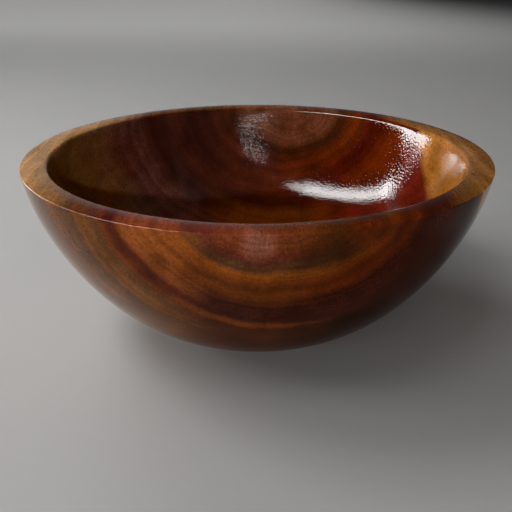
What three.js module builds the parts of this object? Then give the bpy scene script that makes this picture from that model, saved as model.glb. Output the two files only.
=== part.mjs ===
// A turned wooden bowl that stands on four felt pads.
// Millimetres, +Z up. The origin is on the table, under the middle of the bowl.
import * as THREE from "three";

// Rim
const rimDiameter = 260;
const rimWidth = 13.5;
const rimCrown = 0.5; // the middle of the rim stands this far above its two edges
const outerEdge = 0.8; // how far the crisp outer edge is eased back along both faces
const innerEdge = 2.2; // the same for the softer inner edge

// Outside: one sweep from the foot out and up to the rim
const bowlHeight = 103; // wood alone, from the foot's face to the crown of the rim
const wallLean = 6.7; // degrees off upright, just under the rim
const wallSweep = 42.6; // how far the steep run carries down from the rim
const bellySweep = 36.5; // how far the flat run carries out from the foot

// Hollow: a second sweep from the rim down to the middle of the floor
const floorThickness = 13; // wood left between the hollow and the recess
const hollowLean = 15; // degrees off upright, just under the rim
const hollowSweep = 74; // how far the steep run carries down from the rim
const floorSweep = 80; // how far the flat run carries out from the middle

// Foot, with the shallow recess by which the lathe chuck held the bowl
const footDiameter = 100;
const footHeight = 4; // how far the foot stands below the belly
const recessDepth = 3;

// Felt pads, glued to the ring that the recess leaves
const padCount = 4;
const padDiameter = 15;
const padThickness = 2;
const padMargin = 2; // bare wood left on each side of a pad, across the ring
const glueFilm = 0.3;

// Fineness of the solids
const turnSteps = 64;
const sweepSteps = 14;
const crownSteps = 4;
const edgeSteps = 2;
const padSteps = 24;

// Heights and radii that follow from the sizes above
const footZ = padThickness + glueFilm;
const bellyZ = footZ + footHeight;
const recessZ = footZ + recessDepth;
const floorZ = recessZ + floorThickness;
const crownZ = footZ + bowlHeight;
const edgeZ = crownZ - rimCrown;
const rimRadius = rimDiameter / 2;
const hollowRadius = rimRadius - rimWidth;
const footRadius = footDiameter / 2;
const recessRadius = footRadius - padDiameter - 2 * padMargin;
const padRingRadius = (footRadius + recessRadius) / 2;

const lacqueredWood = new THREE.MeshStandardMaterial({ color: 0x6b351c, roughness: 0.22, metalness: 0 });
const feltCloth = new THREE.MeshStandardMaterial({ color: 0x4a3b2d, roughness: 1, metalness: 0 });

const at = (radius, height) => new THREE.Vector2(radius, height);

// The point a length below another, on a line that leans in towards the axis.
function downWall(from, length, lean) {
  const angle = THREE.MathUtils.degToRad(lean);
  return at(from.x - length * Math.sin(angle), from.y - length * Math.cos(angle));
}

// The half section of the bowl, from the axis underneath, round the outside, to the axis in the hollow.
function bowlProfile() {
  const outerCorner = at(rimRadius, edgeZ);
  const innerCorner = at(hollowRadius, edgeZ);
  const wallTop = downWall(outerCorner, outerEdge, wallLean);
  const hollowTop = downWall(innerCorner, innerEdge, hollowLean);
  const rimOutside = at(rimRadius - outerEdge, edgeZ);
  const rimInside = at(hollowRadius + innerEdge, edgeZ);
  const crownMiddle = at((rimRadius + hollowRadius) / 2, crownZ + rimCrown);

  const outside = new THREE.CubicBezierCurve(
    at(footRadius, bellyZ),
    at(footRadius + bellySweep, bellyZ),
    downWall(outerCorner, wallSweep, wallLean),
    wallTop,
  );
  const outerEase = new THREE.QuadraticBezierCurve(wallTop, outerCorner, rimOutside);
  const crown = new THREE.QuadraticBezierCurve(rimOutside, crownMiddle, rimInside);
  const innerEase = new THREE.QuadraticBezierCurve(rimInside, innerCorner, hollowTop);
  const hollow = new THREE.CubicBezierCurve(
    hollowTop,
    downWall(innerCorner, hollowSweep, hollowLean),
    at(floorSweep, floorZ),
    at(0, floorZ),
  );
  return [
    at(0, recessZ),
    at(recessRadius, recessZ),
    at(recessRadius, footZ),
    at(footRadius, footZ),
    ...outside.getPoints(sweepSteps),
    ...outerEase.getPoints(edgeSteps).slice(1),
    ...crown.getPoints(crownSteps).slice(1),
    ...innerEase.getPoints(edgeSteps).slice(1),
    ...hollow.getPoints(sweepSteps).slice(1),
  ];
}

function bowlBody() {
  const turned = new THREE.LatheGeometry(bowlProfile(), turnSteps).rotateX(Math.PI / 2);
  const body = new THREE.Mesh(turned, lacqueredWood);
  body.name = "bowl_body";
  return body;
}

function feltPad(index) {
  const radius = padDiameter / 2;
  const disc = new THREE.CylinderGeometry(radius, radius, padThickness, padSteps).rotateX(Math.PI / 2);
  const pad = new THREE.Mesh(disc, feltCloth);
  const angle = (2 * Math.PI * (index + 0.5)) / padCount;
  pad.position.set(padRingRadius * Math.cos(angle), padRingRadius * Math.sin(angle), padThickness / 2);
  pad.name = `felt_pad_${index + 1}`;
  return pad;
}

const bowl = new THREE.Group();
bowl.add(bowlBody());
for (let index = 0; index < padCount; index += 1) {
  bowl.add(feltPad(index));
}

export default bowl;
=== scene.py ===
"""A turned and lacquered wooden bowl on felt pads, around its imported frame. Metres and degrees, +Z up."""

import math

import bpy
import numpy as np
from mathutils import Matrix, Vector


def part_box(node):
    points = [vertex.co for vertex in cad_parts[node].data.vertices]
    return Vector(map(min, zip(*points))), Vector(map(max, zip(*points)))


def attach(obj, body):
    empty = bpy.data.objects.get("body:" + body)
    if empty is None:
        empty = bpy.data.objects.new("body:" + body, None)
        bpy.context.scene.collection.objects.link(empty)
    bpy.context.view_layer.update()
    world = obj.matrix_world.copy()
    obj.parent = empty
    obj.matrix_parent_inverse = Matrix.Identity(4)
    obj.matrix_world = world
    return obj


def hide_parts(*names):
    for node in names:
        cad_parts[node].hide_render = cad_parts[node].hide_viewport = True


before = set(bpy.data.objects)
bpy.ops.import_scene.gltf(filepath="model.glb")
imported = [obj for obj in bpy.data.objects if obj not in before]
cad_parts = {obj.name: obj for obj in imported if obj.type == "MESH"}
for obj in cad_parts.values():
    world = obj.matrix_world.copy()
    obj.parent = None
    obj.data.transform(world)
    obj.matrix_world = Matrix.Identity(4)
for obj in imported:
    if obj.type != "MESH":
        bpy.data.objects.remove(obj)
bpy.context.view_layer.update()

# Sizes of the bowl, the same as those that its solid was turned to
RIM_RADIUS = 0.130
RIM_WIDTH = 0.0135
RIM_CROWN = 0.0005  # the middle of the rim stands this far above its two edges
OUTER_EDGE = 0.0008  # how far the crisp outer edge is eased back along both faces
INNER_EDGE = 0.0022  # the same for the softer inner edge
WALL_LEAN = 6.7  # off upright, just under the rim
WALL_SWEEP = 0.0426  # how far the outside's steep run carries down from the rim
BELLY_SWEEP = 0.0365  # how far its flat run carries out from the foot
HOLLOW_LEAN = 15.0  # off upright, just under the rim
HOLLOW_SWEEP = 0.074  # how far the hollow's steep run carries down from the rim
FLOOR_SWEEP = 0.080  # how far its flat run carries out from the middle
FLOOR_THICKNESS = 0.013
FOOT_RADIUS = 0.050
FOOT_HEIGHT = 0.004
RECESS_RADIUS = 0.031
RECESS_DEPTH = 0.003

# Forms that the solid leaves plain
LIP_FLARE = 0.0014  # how far the hollow's wall is drawn in below the rim
LIP_DEPTH = 0.012  # how soon below the rim the flare sets in
FOOT_EASE = 0.0005
PAD_EASE = 0.0006
PAD_FRAY = 0.02  # the greatest share of its radius by which a pad's edge is drawn in
FRAY_WAVES = ((5, 1), (11, 2), (23, 0))  # how many go round a pad, and how far each shifts from pad to pad

# What follows from the frame and from the sizes
FOOT_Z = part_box("bowl_body")[0].z
CROWN_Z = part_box("bowl_body")[1].z
EDGE_Z = CROWN_Z - RIM_CROWN
HOLLOW_RADIUS = RIM_RADIUS - RIM_WIDTH
PAD_NODES = sorted(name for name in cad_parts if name.startswith("felt_pad"))

# Fineness of the turned meshes
TURN_STEPS = 320
SWEEP_STEPS = 72
CROWN_STEPS = 12
EDGE_STEPS = 6
PAD_STEPS = 96

# The log: its heart runs from front to back above the rim, and its rings are wider than they are high
HEART_FRONT = Vector((0.007, -0.130, 0.122))
HEART_BACK = Vector((0.022, 0.110, 0.107))
RING_FLATNESS = 1.28

# The outer rings are rounder, lie about a straighter line than the heart, and spread towards the back
INNER_END = 0.045
OUTER_START = 0.080
OUTER_MIDDLE = 0.0145
OUTER_FLATNESS = 1.15
OUTER_SPREAD = 0.5

# Tones of the wood, as linear colours
# The heart's pink, made paler by a painted reflection
ROSE_AND_REFLECTION = (0.240, 0.101, 0.073)
RUST = (0.178, 0.057, 0.033)
CLAY = (0.105, 0.026, 0.013)
PLUM = (0.120, 0.041, 0.032)
OLIVE = (0.100, 0.050, 0.030)
GOLD = (0.262, 0.078, 0.024)
HONEY = (0.262, 0.083, 0.032)
SIENNA = (0.114, 0.035, 0.015)
GARNET = (0.082, 0.021, 0.012)
COPPER = (0.150, 0.042, 0.015)
UMBER = (0.056, 0.019, 0.011)
RUSSET = (0.075, 0.023, 0.011)
DRAB = (0.100, 0.043, 0.021)
SADDLE = (0.062, 0.024, 0.010)
MOSS = (0.037, 0.017, 0.010)
FERN = (0.051, 0.022, 0.015)
OCHRE = (0.125, 0.038, 0.013)
BRICK = (0.094, 0.020, 0.008)
MAROON = (0.048, 0.017, 0.013)
# Painted shade: the right side's sapwood as it looks in shade
SHADED_SLATE = (0.034, 0.016, 0.011)
FAWN = (0.126, 0.056, 0.040)
AMBER = (0.098, 0.028, 0.018)
EMBER = (0.115, 0.021, 0.009)
OXBLOOD = (0.066, 0.014, 0.010)
CRIMSON = (0.180, 0.041, 0.032)
CHESTNUT = (0.063, 0.021, 0.015)
COCOA = (0.042, 0.016, 0.012)
TAN = (0.147, 0.053, 0.018)
# Painted shade: the left sapwood as it looks in the shade of the hollow
SHADED_STRAW = (0.136, 0.070, 0.060)
OAT = (0.250, 0.148, 0.092)
GOLDEN = (0.500, 0.212, 0.072)
CREAM = (0.435, 0.227, 0.093)
BUFF = (0.260, 0.128, 0.042)
SAND = (0.270, 0.125, 0.052)

# Where each tone lies, by distance from the heart, in six parts of the bowl
FRONT_LEFT = (
    (0.000, HONEY),
    (0.072, HONEY),
    (0.0775, GARNET),
    (0.0825, GARNET),
    (0.0865, COPPER),
    (0.0895, DRAB),
    (0.095, TAN),
    (0.1005, TAN),
    (0.1035, DRAB),
    (0.1055, DRAB),
    (0.110, TAN),
    (0.118, TAN),
    (0.140, BUFF),
)
FRONT_MIDDLE = (
    (0.000, RUST),
    (0.032, RUST),
    (0.037, PLUM),
    (0.041, OLIVE),
    (0.0435, OLIVE),
    (0.0475, GOLD),
    (0.052, SIENNA),
    (0.062, SIENNA),
    (0.068, MAROON),
    (0.079, MAROON),
    (0.0835, COPPER),
    (0.0875, UMBER),
    (0.096, RUSSET),
    (0.104, UMBER),
    (0.115, RUSSET),
)
# On the right the tones are darker partly as the wood's own colour and partly as painted shade; beyond the
# heartwood, dark slate stands for the sapwood in painted shade
FRONT_RIGHT = (
    (0.000, SADDLE),
    (0.034, SADDLE),
    (0.039, MOSS),
    (0.0455, MOSS),
    (0.049, OCHRE),
    (0.053, BRICK),
    (0.059, BRICK),
    (0.065, MAROON),
    (0.080, MAROON),
    (0.088, SHADED_SLATE),
    (0.150, SHADED_SLATE),
)
# On the hollow's left the tones are darker partly as the wood's own colour and partly as painted shade; its
# sapwood below the rim is a shaded copy of the rim's cream, as painted shade
BACK_LEFT = (
    (0.000, FAWN),
    (0.034, FAWN),
    (0.039, UMBER),
    (0.043, UMBER),
    (0.050, COCOA),
    (0.060, COCOA),
    (0.066, MAROON),
    (0.071, CHESTNUT),
    (0.076, CHESTNUT),
    (0.080, MAROON),
    (0.088, MAROON),
    (0.098, SHADED_STRAW),
    (0.108, SHADED_STRAW),
    (0.128, OAT),
)
BACK_MIDDLE = (
    (0.000, FAWN),
    (0.034, FAWN),
    (0.040, FERN),
    (0.043, FERN),
    (0.050, AMBER),
    (0.068, AMBER),
    (0.074, CHESTNUT),
    (0.077, CHESTNUT),
    (0.084, COPPER),
    (0.150, COPPER),
)
BACK_RIGHT = (
    (0.000, FAWN),
    (0.034, FAWN),
    (0.040, FERN),
    (0.043, FERN),
    (0.049, BRICK),
    (0.055, BRICK),
    (0.061, OXBLOOD),
    (0.067, OXBLOOD),
    (0.074, EMBER),
    (0.084, EMBER),
    (0.090, CRIMSON),
    (0.150, CRIMSON),
)

# Between which places across the bowl each part gives way to the next, and the front to the back
FRONT_PARTS = ((FRONT_LEFT, -0.045, -0.020), (FRONT_MIDDLE, 0.005, 0.036), (FRONT_RIGHT, None, None))
BACK_PARTS = ((BACK_LEFT, -0.040, -0.010), (BACK_MIDDLE, 0.030, 0.060), (BACK_RIGHT, None, None))
BACK_START = -0.075
BACK_END = -0.025

# Patches of another tone under the front of the rim: tone, middle, full within, gone beyond
PATCHES = (
    # The rose patch is partly the heart's own pink and partly a painted reflection of a bright patch on the
    # floor
    (ROSE_AND_REFLECTION, Vector((-0.0005, -0.129, 0.1005)), 0.004, 0.0095),
    (CLAY, Vector((0.046, -0.121, 0.104)), 0.005, 0.015),
    (UMBER, Vector((-0.041, -0.1195, 0.091)), 0.000, 0.006),
)

# Sapwood, by its place across the bowl: on the right it reaches further in on the rim than below it
RIGHT_SAPWOOD = 0.1035
RIGHT_RIM_SAPWOOD = 0.082
SAPWOOD_BLUR = 0.0025
LEFT_RIM_SAPWOOD = (-0.080, -0.118)

# The rim's top is painted paler as painted light from above, and its back left is painted lighter still as
# painted light from behind; it is redder at the front left, between these places
RIM_DEPTH = 0.0010
# painted light: how much paler the rim's top is drawn
TOP_PAINTED_LIGHT = 1.25
# painted light: how far the back left of the rim is mixed towards a paler tone
BACK_RIM_PAINTED_LIGHT = 0.25
PAINTED_LIGHT_COMES = (-0.02, 0.04)  # from front to back
PAINTED_LIGHT_GOES = (0.0, 0.04)  # from left to right
RIM_BLUSH = (0.80, 0.70, 1.00)
BLUSH_GOES_BACK = (-0.105, -0.085)
BLUSH_GOES_RIGHT = (-0.03, -0.005)

# The grain: between which values a noise mostly lies, and how strongly each mark shades the tones
NOISE_SPAN = (0.3, 0.7)
GRAIN_STRETCH = (1.0, 0.35, 1.0)
GRAIN_WAVES = ((14.0, 0.009), (34.0, 0.005), (80.0, 0.0030))  # scale and reach
LINE_SCALE = 260.0
LINE_SHADES = (0.84, 1.16)
RAY_FAN = (70.0, 160.0, 60.0)  # how often rays change round the heart, along it and away from it
RAY_FADES = (0.025, 0.050)  # between which distances from the heart
RAY_STRENGTHS = (0.9, 0.2)
CLOUD_SCALE = 75.0
CLOUD_SHADES = (0.70, 1.28)
MOTTLE_SCALE = 750.0
MOTTLE_SHADES = (0.78, 1.22)

# Pores: short tubes along the grain
PORE_STRETCH = (1.0, 0.2, 1.0)
PORE_SCALE = 850.0
PORE_EDGE = (0.08, 0.30)
PORE_TONE = (0.03, 0.012, 0.006)
PORE_STRENGTH = 0.6

# The lacquer's relief: a ripple that dips over the pores
RIPPLE_SCALE = 800.0
RIPPLE_SHARE = 0.5
PORE_DIP = 0.15
RELIEF_STRENGTH = 0.70
RELIEF_HEIGHT = 0.00020

# The felt's fibres
FIBRE_SCALE = 1400.0
FIBRE_TONES = ((0.035, 0.024, 0.016), (0.11, 0.078, 0.052))
FIBRE_STRENGTH = 0.7
FIBRE_HEIGHT = 0.0006

# The camera, fitted to the rim: its lens in pixels, and its place in rim radii from the middle of the rim
IMAGE_WIDTH = 512
FOCAL_PIXELS = 600
SENSOR_WIDTH = 36.0  # millimetres, as the camera counts it
NEAREST_SEEN = 0.01
CAMERA_ASIDE = -0.005
CAMERA_BACK = 2.630
CAMERA_ABOVE = 0.690
CAMERA_PITCH = 24.94  # how far it looks down

# The strip light: tubes in line on the left that run away from the viewer, by the nearest point of the line
STRIP_AZIMUTH = -142.8
STRIP_DISTANCE = 0.60
STRIP_HEIGHT = 0.625

# Each tube's start and end along the line, its breadth and its radiance
STRIP_TUBES = (
    (-0.08, 0.00, 0.06, 10.0),
    (0.00, 0.12, 0.10, 15.0),
    (0.12, 2.20, 0.16, 20.0),
    (2.20, 7.00, 0.10, 3.6),
)

# The soft lights: name, azimuth, elevation, distance, width, height, radiance, and if the lacquer mirrors it
SOFT_LIGHTS = (
    ("high_left", -90, 52, 0.85, 0.32, 0.32, 8.3, False),
    ("back_left", -40, 42, 1.40, 0.50, 0.50, 4.5, False),
    ("high_front", -140, 60, 3.2, 1.0, 1.0, 3.2, False),
    ("low_left", -124, 8, 3.0, 2.4, 0.55, 8.5, True),
    ("left_mid", -98, 26, 3.0, 1.0, 0.60, 7.0, False),
    ("lamp", 170, 15.5, 3.0, 0.12, 0.08, 1090.0, False),
)

# Small lights that only the lacquer shows: name, azimuth and elevation of both ends, breadth and radiance
SMALL_DISTANCE = 1.6
SMALL_LIGHTS = (
    ("far_light", (-51.0, 10.2), (-71.0, 16.4), 0.11, 26.0),
    ("rear_light", (168.5, 24.3), (188.0, 29.4), 0.022, 18.0),
)

# Broad dim panels behind the viewer and on the right, which only the lacquer shows: azimuth and radiance
PANELS = ((155, 0.32), (80, 0.24))
PANEL_ELEVATION = 38
PANEL_DISTANCE = 3.0
PANEL_SIZE = (4.5, 2.4)

# A light over the far floor, which keeps the distance from going dark and hardly reaches the bowl
BACK_LIGHT_MIDDLE = Vector((-2.9, 4.4, 1.5))
BACK_LIGHT_SIZE = (7.8, 5.8)
BACK_LIGHT_RADIANCE = 0.66
BACK_LIGHT_SPREAD = 95

# The floor
STAGE_SIZE = 20.0
STAGE_TONE = (0.50, 0.496, 0.488)
STAGE_ROUGHNESS = 0.9

# The surroundings: dim overhead, with a soft glow low down at the back
SKY_TONE = (0.97, 0.98, 1.0)
AMBIENT = 0.06
GLOW = 0.26
GLOW_AZIMUTH = -12
GLOW_ELEVATION = 9
GLOW_TIGHTNESS = 12.0


def bezier(points, steps):
    """Points along a Bezier curve of any degree, ends included."""
    t = np.linspace(0.0, 1.0, steps + 1)[:, None]
    rows = [np.tile(np.array(p, float), (steps + 1, 1)) for p in points]
    while len(rows) > 1:
        rows = [(1 - t) * a + t * b for a, b in zip(rows, rows[1:])]
    return rows[0]


def down_wall(start, length, lean):
    """The point a length below another, on a line that leans in towards the axis."""
    angle = math.radians(lean)
    return (start[0] - length * math.sin(angle), start[1] - length * math.cos(angle))


def eased(before, corner, after, ease):
    """Points round a corner that is eased back along both its faces, and one more on each face."""
    before, corner, after = (Vector(point) for point in (before, corner, after))
    start = (before - corner).normalized() * ease
    end = (after - corner).normalized() * ease
    turn = bezier((corner + start, corner, corner + end), EDGE_STEPS)
    return np.concatenate([[corner + start * 2], turn, [corner + end * 2]])


def eased_corners(corners, ease):
    """Points round all the corners of an outline but its two ends."""
    return [eased(*three, ease) for three in zip(corners, corners[1:], corners[2:])]


def flared(wall):
    """The hollow's wall, drawn in a little below the rim so that its lip flares, and less near the axis."""
    depth = EDGE_Z - wall[:, 1]
    share = np.minimum(wall[:, 0] / (HOLLOW_RADIUS / 2), 1)
    drawn_in = LIP_FLARE * (1 - np.exp(-depth / LIP_DEPTH)) * share
    return np.column_stack([wall[:, 0] - drawn_in, wall[:, 1]])


def bowl_profile():
    """The half section as (radius, height), from the axis underneath, round the outside, to the hollow."""
    recess_z = FOOT_Z + RECESS_DEPTH
    belly_z = FOOT_Z + FOOT_HEIGHT
    floor_z = recess_z + FLOOR_THICKNESS
    outer_corner = (RIM_RADIUS, EDGE_Z)
    inner_corner = (HOLLOW_RADIUS, EDGE_Z)
    wall_top = down_wall(outer_corner, OUTER_EDGE, WALL_LEAN)
    hollow_top = down_wall(inner_corner, INNER_EDGE, HOLLOW_LEAN)
    rim_outside = (RIM_RADIUS - OUTER_EDGE, EDGE_Z)
    rim_inside = (HOLLOW_RADIUS + INNER_EDGE, EDGE_Z)
    crown_middle = ((RIM_RADIUS + HOLLOW_RADIUS) / 2, CROWN_Z + RIM_CROWN)
    belly_out = (FOOT_RADIUS + BELLY_SWEEP, belly_z)
    wall_low = down_wall(outer_corner, WALL_SWEEP, WALL_LEAN)
    outside = bezier(((FOOT_RADIUS, belly_z), belly_out, wall_low, wall_top), SWEEP_STEPS)
    hollow_low = down_wall(inner_corner, HOLLOW_SWEEP, HOLLOW_LEAN)
    hollow = flared(bezier((hollow_top, hollow_low, (FLOOR_SWEEP, floor_z), (0, floor_z)), SWEEP_STEPS))
    corners = (
        (0, recess_z),
        (RECESS_RADIUS, recess_z),
        (RECESS_RADIUS, FOOT_Z),
        (FOOT_RADIUS, FOOT_Z),
        (FOOT_RADIUS, belly_z),
        tuple(outside[1]),
    )
    return np.concatenate(
        [
            [corners[0]],
            *eased_corners(corners, FOOT_EASE),
            outside[1:],
            bezier((wall_top, outer_corner, rim_outside), EDGE_STEPS)[1:],
            bezier((rim_outside, crown_middle, rim_inside), CROWN_STEPS)[1:],
            bezier((rim_inside, inner_corner, hollow[0]), EDGE_STEPS)[1:],
            hollow[1:],
        ]
    )


def turned_mesh(name, profile, steps):
    """A closed mesh of the profile turned about the upright axis; the profile starts and ends on the axis."""
    angles = np.linspace(0.0, 2 * math.pi, steps, endpoint=False)
    rings = profile[1:-1]
    vertices = [(0.0, 0.0, profile[0][1])]
    for radius, height in rings:
        vertices += [(radius * math.cos(a), radius * math.sin(a), height) for a in angles]
    vertices.append((0.0, 0.0, profile[-1][1]))
    last = len(vertices) - 1
    faces = []
    for i in range(steps):
        j = (i + 1) % steps
        faces.append((0, 1 + j, 1 + i))
        for ring in range(len(rings) - 1):
            low = 1 + ring * steps
            high = low + steps
            faces.append((low + i, low + j, high + j, high + i))
        top = 1 + (len(rings) - 1) * steps
        faces.append((top + i, top + j, last))
    mesh = bpy.data.meshes.new(name)
    mesh.from_pydata(vertices, [], faces)
    mesh.validate()
    mesh.shade_smooth()
    return mesh


class Nodes:
    """A short way to write the node tree of a material or of the world."""

    def __init__(self, owner):
        owner.use_nodes = True
        self.tree = owner.node_tree
        self.tree.nodes.clear()

    def add(self, kind, inputs=None, **settings):
        node = self.tree.nodes.new(kind)
        for key, value in settings.items():
            setattr(node, key, value)
        for key, value in (inputs or {}).items():
            self.feed(node.inputs[key], value)
        return node

    def feed(self, socket, value):
        if isinstance(value, bpy.types.NodeSocket):
            self.tree.links.new(value, socket)
        else:
            socket.default_value = value

    def math(self, operation, *values):
        node = self.add("ShaderNodeMath", dict(enumerate(values)), operation=operation)
        return node.outputs[0]

    def vector(self, operation, *values):
        node = self.add("ShaderNodeVectorMath", dict(enumerate(values)), operation=operation)
        return node.outputs["Value" if operation in ("LENGTH", "DOT_PRODUCT") else "Vector"]

    def scaled(self, vector, factor):
        node = self.add("ShaderNodeVectorMath", {0: vector, "Scale": factor}, operation="SCALE")
        return node.outputs["Vector"]

    def hypotenuse(self, a, b):
        squares = self.math("MULTIPLY_ADD", a, a, self.math("MULTIPLY", b, b))
        return self.math("SQRT", squares)

    def noise(self, where, scale, detail=2.0, rough=0.5):
        inputs = {"Vector": where, "Scale": scale, "Detail": detail, "Roughness": rough}
        return self.add("ShaderNodeTexNoise", inputs).outputs

    def sway(self, where, scale, reach):
        """A vector that wanders either way of nothing by half the reach."""
        centred = self.vector("SUBTRACT", self.noise(where, scale)["Color"], (0.5, 0.5, 0.5))
        return self.vector("MULTIPLY", centred, (reach, reach, reach))

    def remap(self, value, low, high, to_low, to_high):
        node = self.add(
            "ShaderNodeMapRange",
            {"Value": value, "From Min": low, "From Max": high, "To Min": to_low, "To Max": to_high},
        )
        return node.outputs["Result"]

    def ramp(self, value, stops):
        node = self.add("ShaderNodeValToRGB", {"Fac": value})
        elements = node.color_ramp.elements
        elements[0].position = stops[0][0]
        elements[0].color = (*stops[0][1], 1)
        elements[1].position = stops[-1][0]
        elements[1].color = (*stops[-1][1], 1)
        for position, colour in stops[1:-1]:
            elements.new(position).color = (*colour, 1)
        return node.outputs["Color"]

    def blend(self, kind, factor, a, b):
        node = self.add("ShaderNodeMix", data_type="RGBA", blend_type=kind)
        self.feed(node.inputs["Factor"], factor)
        for key, value in (("A", a), ("B", b)):
            socket = [s for s in node.inputs if s.name == key and s.type == "RGBA"][0]
            self.feed(socket, value)
        return [s for s in node.outputs if s.type == "RGBA"][0]

    def relief(self, height, strength, distance):
        bump = self.add("ShaderNodeBump", {"Height": height, "Strength": strength, "Distance": distance})
        return bump.outputs["Normal"]


def ring_position(n, parts):
    """How far a point lies beside and above the heart of the log, and which ring it is in."""
    lean = (HEART_BACK - HEART_FRONT) / (HEART_BACK.y - HEART_FRONT.y)
    start = HEART_FRONT - lean * HEART_FRONT.y
    across = n.math("SUBTRACT", parts["X"], n.math("MULTIPLY_ADD", parts["Y"], lean.x, start.x))
    upward = n.math("SUBTRACT", parts["Z"], n.math("MULTIPLY_ADD", parts["Y"], lean.z, start.z))
    inner = n.hypotenuse(across, n.math("MULTIPLY", upward, RING_FLATNESS))
    beside = n.math("SUBTRACT", parts["X"], OUTER_MIDDLE)
    outer = n.hypotenuse(beside, n.math("MULTIPLY", upward, OUTER_FLATNESS))
    outer = n.math("MULTIPLY", outer, n.math("MULTIPLY_ADD", parts["Y"], -OUTER_SPREAD, 1.0))
    share = n.remap(inner, INNER_END, OUTER_START, 0.0, 1.0)
    radius = n.math("MULTIPLY_ADD", n.math("SUBTRACT", outer, inner), share, inner)
    return across, upward, radius


def ring_tones(n, radius, rings):
    """The tones of one part of the bowl, ring by ring."""
    reach = rings[-1][0]
    return n.ramp(n.math("DIVIDE", radius, reach), [(distance / reach, tone) for distance, tone in rings])


def part_tones(n, place, radius, parts):
    """The tones of the parts of the bowl, each giving way to the next across the bowl."""
    tones = ring_tones(n, radius, parts[0][0])
    for (_, start, end), (rings, _, _) in zip(parts, parts[1:]):
        tones = n.blend("MIX", n.remap(place, start, end, 0.0, 1.0), tones, ring_tones(n, radius, rings))
    return tones


def heartwood_tones(n, waved, parts, radius):
    """The tones of the rings in front and at the back, with the patches."""
    front = part_tones(n, parts["X"], radius, FRONT_PARTS)
    back = part_tones(n, parts["X"], radius, BACK_PARTS)
    tones = n.blend("MIX", n.remap(parts["Y"], BACK_START, BACK_END, 0.0, 1.0), front, back)
    for tone, middle, full, gone in PATCHES:
        distance = n.vector("LENGTH", n.vector("SUBTRACT", waved, middle))
        tones = n.blend("MIX", n.remap(distance, full, gone, 1.0, 0.0), tones, (*tone, 1))
    return tones


def rim_tones(n, tones, rim, parts):
    """The tones with painted light on the back of the rim, the rim's redder front left, the left rim's
    sapwood, and the right side's.
    """
    # painted light: the back left of the rim is mixed towards sand
    painted_light = n.math("MULTIPLY", rim, n.remap(parts["Y"], *PAINTED_LIGHT_COMES, 0.0, BACK_RIM_PAINTED_LIGHT))
    painted_light = n.math("MULTIPLY", painted_light, n.remap(parts["X"], *PAINTED_LIGHT_GOES, 1.0, 0.0))
    tones = n.blend("MIX", painted_light, tones, (*SAND, 1))
    blush = n.math("MULTIPLY", rim, n.remap(parts["Y"], *BLUSH_GOES_BACK, 1.0, 0.0))
    blush = n.math("MULTIPLY", blush, n.remap(parts["X"], *BLUSH_GOES_RIGHT, 1.0, 0.0))
    tones = n.blend("MULTIPLY", blush, tones, (*RIM_BLUSH, 1))
    left = n.math("MULTIPLY", rim, n.remap(parts["X"], *LEFT_RIM_SAPWOOD, 0.0, 1.0))
    tones = n.blend("LIGHTEN", left, tones, (*CREAM, 1))
    start = n.remap(rim, 0.0, 1.0, RIGHT_SAPWOOD, RIGHT_RIM_SAPWOOD)
    right = n.remap(parts["X"], start, RIGHT_SAPWOOD + SAPWOOD_BLUR, 0.0, 1.0)
    return n.blend("MIX", right, tones, n.blend("MIX", rim, (*GOLDEN, 1), (*SAND, 1)))


def growth_lines(n, radius):
    """Shades that change from ring to ring."""
    inputs = {"W": radius, "Scale": LINE_SCALE, "Detail": 3.0}
    lines = n.add("ShaderNodeTexNoise", inputs, noise_dimensions="1D").outputs["Fac"]
    return n.remap(lines, *NOISE_SPAN, *LINE_SHADES)


def rays(n, across, upward, along, radius):
    """Shades that fan out from the heart and fade away from it."""
    angle = n.math("ARCTAN2", across, upward)
    fan = n.add("ShaderNodeCombineXYZ", {"X": angle, "Y": along, "Z": radius}).outputs["Vector"]
    shade = n.math("SUBTRACT", n.noise(n.vector("MULTIPLY", fan, RAY_FAN), 1.0)["Fac"], 0.5)
    return n.math("MULTIPLY_ADD", shade, n.remap(radius, *RAY_FADES, *RAY_STRENGTHS), 1.0)


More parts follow.
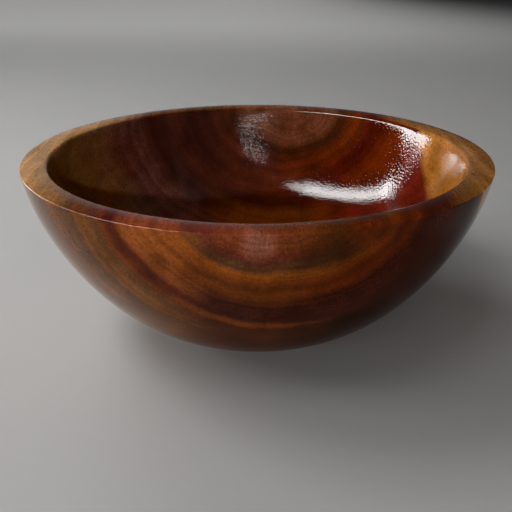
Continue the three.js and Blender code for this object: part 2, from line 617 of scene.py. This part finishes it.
def wood_material():
    material = bpy.data.materials.new("lacquered_wood")
    n = Nodes(material)
    place = n.add("ShaderNodeTexCoord").outputs["Object"]
    height = n.add("ShaderNodeSeparateXYZ", {"Vector": place}).outputs["Z"]
    rim = n.remap(height, EDGE_Z - RIM_DEPTH, EDGE_Z, 0.0, 1.0)

    # Slow waves in the grain, longer along it than across it
    stretched = n.vector("MULTIPLY", place, GRAIN_STRETCH)
    waved = place
    for scale, reach in GRAIN_WAVES:
        waved = n.vector("ADD", waved, n.sway(stretched, scale, reach))
    parts = n.add("ShaderNodeSeparateXYZ", {"Vector": waved}).outputs
    across, upward, radius = ring_position(n, parts)
    tones = rim_tones(n, heartwood_tones(n, waved, parts, radius), rim, parts)

    # Growth lines, rays, cloudy patches, a fine mottle, and painted light that makes the rim's top paler
    shade = n.math("MULTIPLY", growth_lines(n, radius), rays(n, across, upward, parts["Y"], radius))
    clouds = n.remap(n.noise(stretched, CLOUD_SCALE, 3.0)["Fac"], *NOISE_SPAN, *CLOUD_SHADES)
    mottle = n.remap(n.noise(place, MOTTLE_SCALE, 2.0, 0.6)["Fac"], *NOISE_SPAN, *MOTTLE_SHADES)
    # painted light on the rim's top
    top_light = n.remap(rim, 0.0, 1.0, 1.0, TOP_PAINTED_LIGHT)
    for factor in (clouds, mottle, top_light):
        shade = n.math("MULTIPLY", shade, factor)

    tubes = n.vector("MULTIPLY", place, PORE_STRETCH)
    pore = n.add("ShaderNodeTexVoronoi", {"Vector": tubes, "Scale": PORE_SCALE}).outputs["Distance"]
    pore = n.remap(pore, *PORE_EDGE, 1.0, 0.0)
    pore_share = n.math("MULTIPLY", pore, PORE_STRENGTH)
    colour = n.blend("MIX", pore_share, n.scaled(tones, shade), (*PORE_TONE, 1))

    ripple = n.math("MULTIPLY", n.noise(place, RIPPLE_SCALE, 1.0)["Fac"], RIPPLE_SHARE)
    film = n.math("SUBTRACT", ripple, n.math("MULTIPLY", pore, PORE_DIP))
    relief = n.relief(film, RELIEF_STRENGTH, RELIEF_HEIGHT)
    shader = n.add(
        "ShaderNodeBsdfPrincipled",
        {
            "Base Color": colour,
            "Roughness": 0.40,
            "Specular IOR Level": 0.0,
            "Normal": relief,
            "Coat Weight": 1.0,
            "Coat Roughness": 0.020,
            "Coat IOR": 1.45,
            "Coat Normal": relief,
        },
    )
    n.add("ShaderNodeOutputMaterial", {"Surface": shader.outputs["BSDF"]})
    return material


def felt_material():
    material = bpy.data.materials.new("felt")
    n = Nodes(material)
    place = n.add("ShaderNodeTexCoord").outputs["Object"]
    fibres = n.noise(place, FIBRE_SCALE, 4.0, 0.7)["Fac"]
    shader = n.add(
        "ShaderNodeBsdfPrincipled",
        {
            "Base Color": n.ramp(fibres, list(zip(NOISE_SPAN, FIBRE_TONES))),
            "Roughness": 1.0,
            "Normal": n.relief(fibres, FIBRE_STRENGTH, FIBRE_HEIGHT),
            "Sheen Weight": 0.4,
            "Sheen Roughness": 0.5,
        },
    )
    n.add("ShaderNodeOutputMaterial", {"Surface": shader.outputs["BSDF"]})
    return material


def add_object(name, mesh, material):
    mesh.materials.append(material)
    piece = bpy.data.objects.new(name, mesh)
    bpy.context.scene.collection.objects.link(piece)
    return piece


def add_bowl():
    bowl = add_object("turned_bowl", turned_mesh("turned_bowl", bowl_profile(), TURN_STEPS), wood_material())
    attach(bowl, "root")
    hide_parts("bowl_body")


def fray(mesh, number):
    """Draws the edge of a felt disc in unevenly, as it comes from the punch."""
    for vertex in mesh.vertices:
        angle = math.atan2(vertex.co.y, vertex.co.x)
        wander = sum(math.sin(waves * angle + shift * number) for waves, shift in FRAY_WAVES)
        shrink = 1 - PAD_FRAY * (1 + wander / len(FRAY_WAVES)) / 2
        vertex.co.x *= shrink
        vertex.co.y *= shrink


def add_pads():
    felt = felt_material()
    for number, node in enumerate(PAD_NODES):
        low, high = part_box(node)
        radius = (high.x - low.x) / 2
        corners = ((0, low.z), (radius, low.z), (radius, high.z), (0, high.z))
        profile = np.concatenate([[corners[0]], *eased_corners(corners, PAD_EASE), [corners[-1]]])
        mesh = turned_mesh(node + "_felt", profile, PAD_STEPS)
        fray(mesh, number)
        pad = add_object(node + "_felt", mesh, felt)
        pad.location = ((low.x + high.x) / 2, (low.y + high.y) / 2, 0)
        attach(pad, "root")
        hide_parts(node)


def add_camera():
    data = bpy.data.cameras.new("camera")
    data.sensor_width = SENSOR_WIDTH
    data.lens = FOCAL_PIXELS / IMAGE_WIDTH * SENSOR_WIDTH
    data.clip_start = NEAREST_SEEN
    camera = bpy.data.objects.new("camera", data)
    bpy.context.scene.collection.objects.link(camera)
    camera.location = (
        CAMERA_ASIDE * RIM_RADIUS,
        -CAMERA_BACK * RIM_RADIUS,
        EDGE_Z + CAMERA_ABOVE * RIM_RADIUS,
    )
    camera.rotation_euler = (math.radians(90 - CAMERA_PITCH), 0, 0)
    bpy.context.scene.camera = camera


def bearing(azimuth):
    """The level direction at an azimuth: 0 is away from the viewer, 90 is to the right."""
    angle = math.radians(azimuth)
    return Vector((math.sin(angle), math.cos(angle), 0))


def sight_line(azimuth, elevation):
    """The direction at an azimuth and an elevation."""
    angle = math.radians(elevation)
    return bearing(azimuth) * math.cos(angle) + Vector((0, 0, math.sin(angle)))


def add_area_light(name, middle, along, target, length, breadth, radiance):
    """A rectangle of even light that faces a target, its length along a direction."""
    data = bpy.data.lights.new(name, "AREA")
    data.shape = "RECTANGLE"
    data.size = length
    data.size_y = breadth
    data.energy = math.pi * length * breadth * radiance
    light = bpy.data.objects.new(name, data)
    bpy.context.scene.collection.objects.link(light)
    back = (middle - target).normalized()
    side = back.cross(along).normalized()
    turn = Matrix((side.cross(back), side, back)).transposed()
    light.matrix_world = Matrix.Translation(middle) @ turn.to_4x4()
    light.visible_camera = False
    return light


def add_strip_light(target):
    """The tubes in line, which only the lacquer shows."""
    run = bearing(STRIP_AZIMUTH + 90)
    nearest = bearing(STRIP_AZIMUTH) * STRIP_DISTANCE + Vector((0, 0, STRIP_HEIGHT))
    for start, end, breadth, radiance in STRIP_TUBES:
        beside = target + run * (start + end) / 2
        light = add_area_light("strip", beside + nearest, run, beside, end - start, breadth, radiance)
        light.visible_diffuse = False


def add_soft_lights(target):
    """Broad lights on the left, from the viewer's side to the back, and a small lamp behind the viewer."""
    for name, azimuth, elevation, distance, width, height, radiance, mirrored in SOFT_LIGHTS:
        middle = target + sight_line(azimuth, elevation) * distance
        light = add_area_light(name, middle, bearing(azimuth + 90), target, width, height, radiance)
        light.visible_glossy = mirrored


def add_small_lights(target):
    """Narrow lights, each along the line between its two ends."""
    for name, start, end, breadth, radiance in SMALL_LIGHTS:
        ends = [target + sight_line(*angles) * SMALL_DISTANCE for angles in (start, end)]
        span = ends[1] - ends[0]
        light = add_area_light(name, (ends[0] + ends[1]) / 2, span, target, span.length, breadth, radiance)
        light.visible_diffuse = False


def add_panels(target):
    """Panels that give the lacquer something broad and dim to mirror."""
    for azimuth, radiance in PANELS:
        middle = target + sight_line(azimuth, PANEL_ELEVATION) * PANEL_DISTANCE
        panel = add_area_light("panel", middle, bearing(azimuth + 90), target, *PANEL_SIZE, radiance)
        panel.visible_diffuse = False


def add_back_light():
    """The light over the floor behind the bowl; it faces straight down."""
    middle = BACK_LIGHT_MIDDLE
    below = Vector((middle.x, middle.y, 0))
    light = add_area_light("back_light", middle, bearing(90), below, *BACK_LIGHT_SIZE, BACK_LIGHT_RADIANCE)
    light.data.spread = math.radians(BACK_LIGHT_SPREAD)
    light.visible_glossy = False


def add_stage():
    bpy.ops.mesh.primitive_plane_add(size=STAGE_SIZE)
    floor = bpy.context.object
    floor.name = "floor"
    material = bpy.data.materials.new("floor")
    n = Nodes(material)
    look = {"Base Color": (*STAGE_TONE, 1), "Roughness": STAGE_ROUGHNESS}
    shader = n.add("ShaderNodeBsdfPrincipled", look)
    n.add("ShaderNodeOutputMaterial", {"Surface": shader.outputs["BSDF"]})
    floor.data.materials.append(material)


def add_world():
    world = bpy.data.worlds.new("world")
    bpy.context.scene.world = world
    n = Nodes(world)
    sight = n.add("ShaderNodeTexCoord").outputs["Generated"]
    facing = n.vector("DOT_PRODUCT", sight, sight_line(GLOW_AZIMUTH, GLOW_ELEVATION))
    glow = n.math("POWER", n.math("MAXIMUM", facing, 0.0), GLOW_TIGHTNESS)
    strength = n.math("MULTIPLY_ADD", glow, GLOW, AMBIENT)
    background = n.add("ShaderNodeBackground", {"Color": (*SKY_TONE, 1), "Strength": strength})
    n.add("ShaderNodeOutputWorld", {"Surface": background.outputs["Background"]})


add_camera()
add_bowl()
add_pads()
add_stage()
add_world()
rim_middle = Vector((0, 0, EDGE_Z))
add_strip_light(rim_middle)
add_soft_lights(rim_middle)
add_small_lights(rim_middle)
add_panels(rim_middle)
add_back_light()
bpy.context.scene.view_settings.view_transform = "Khronos PBR Neutral"
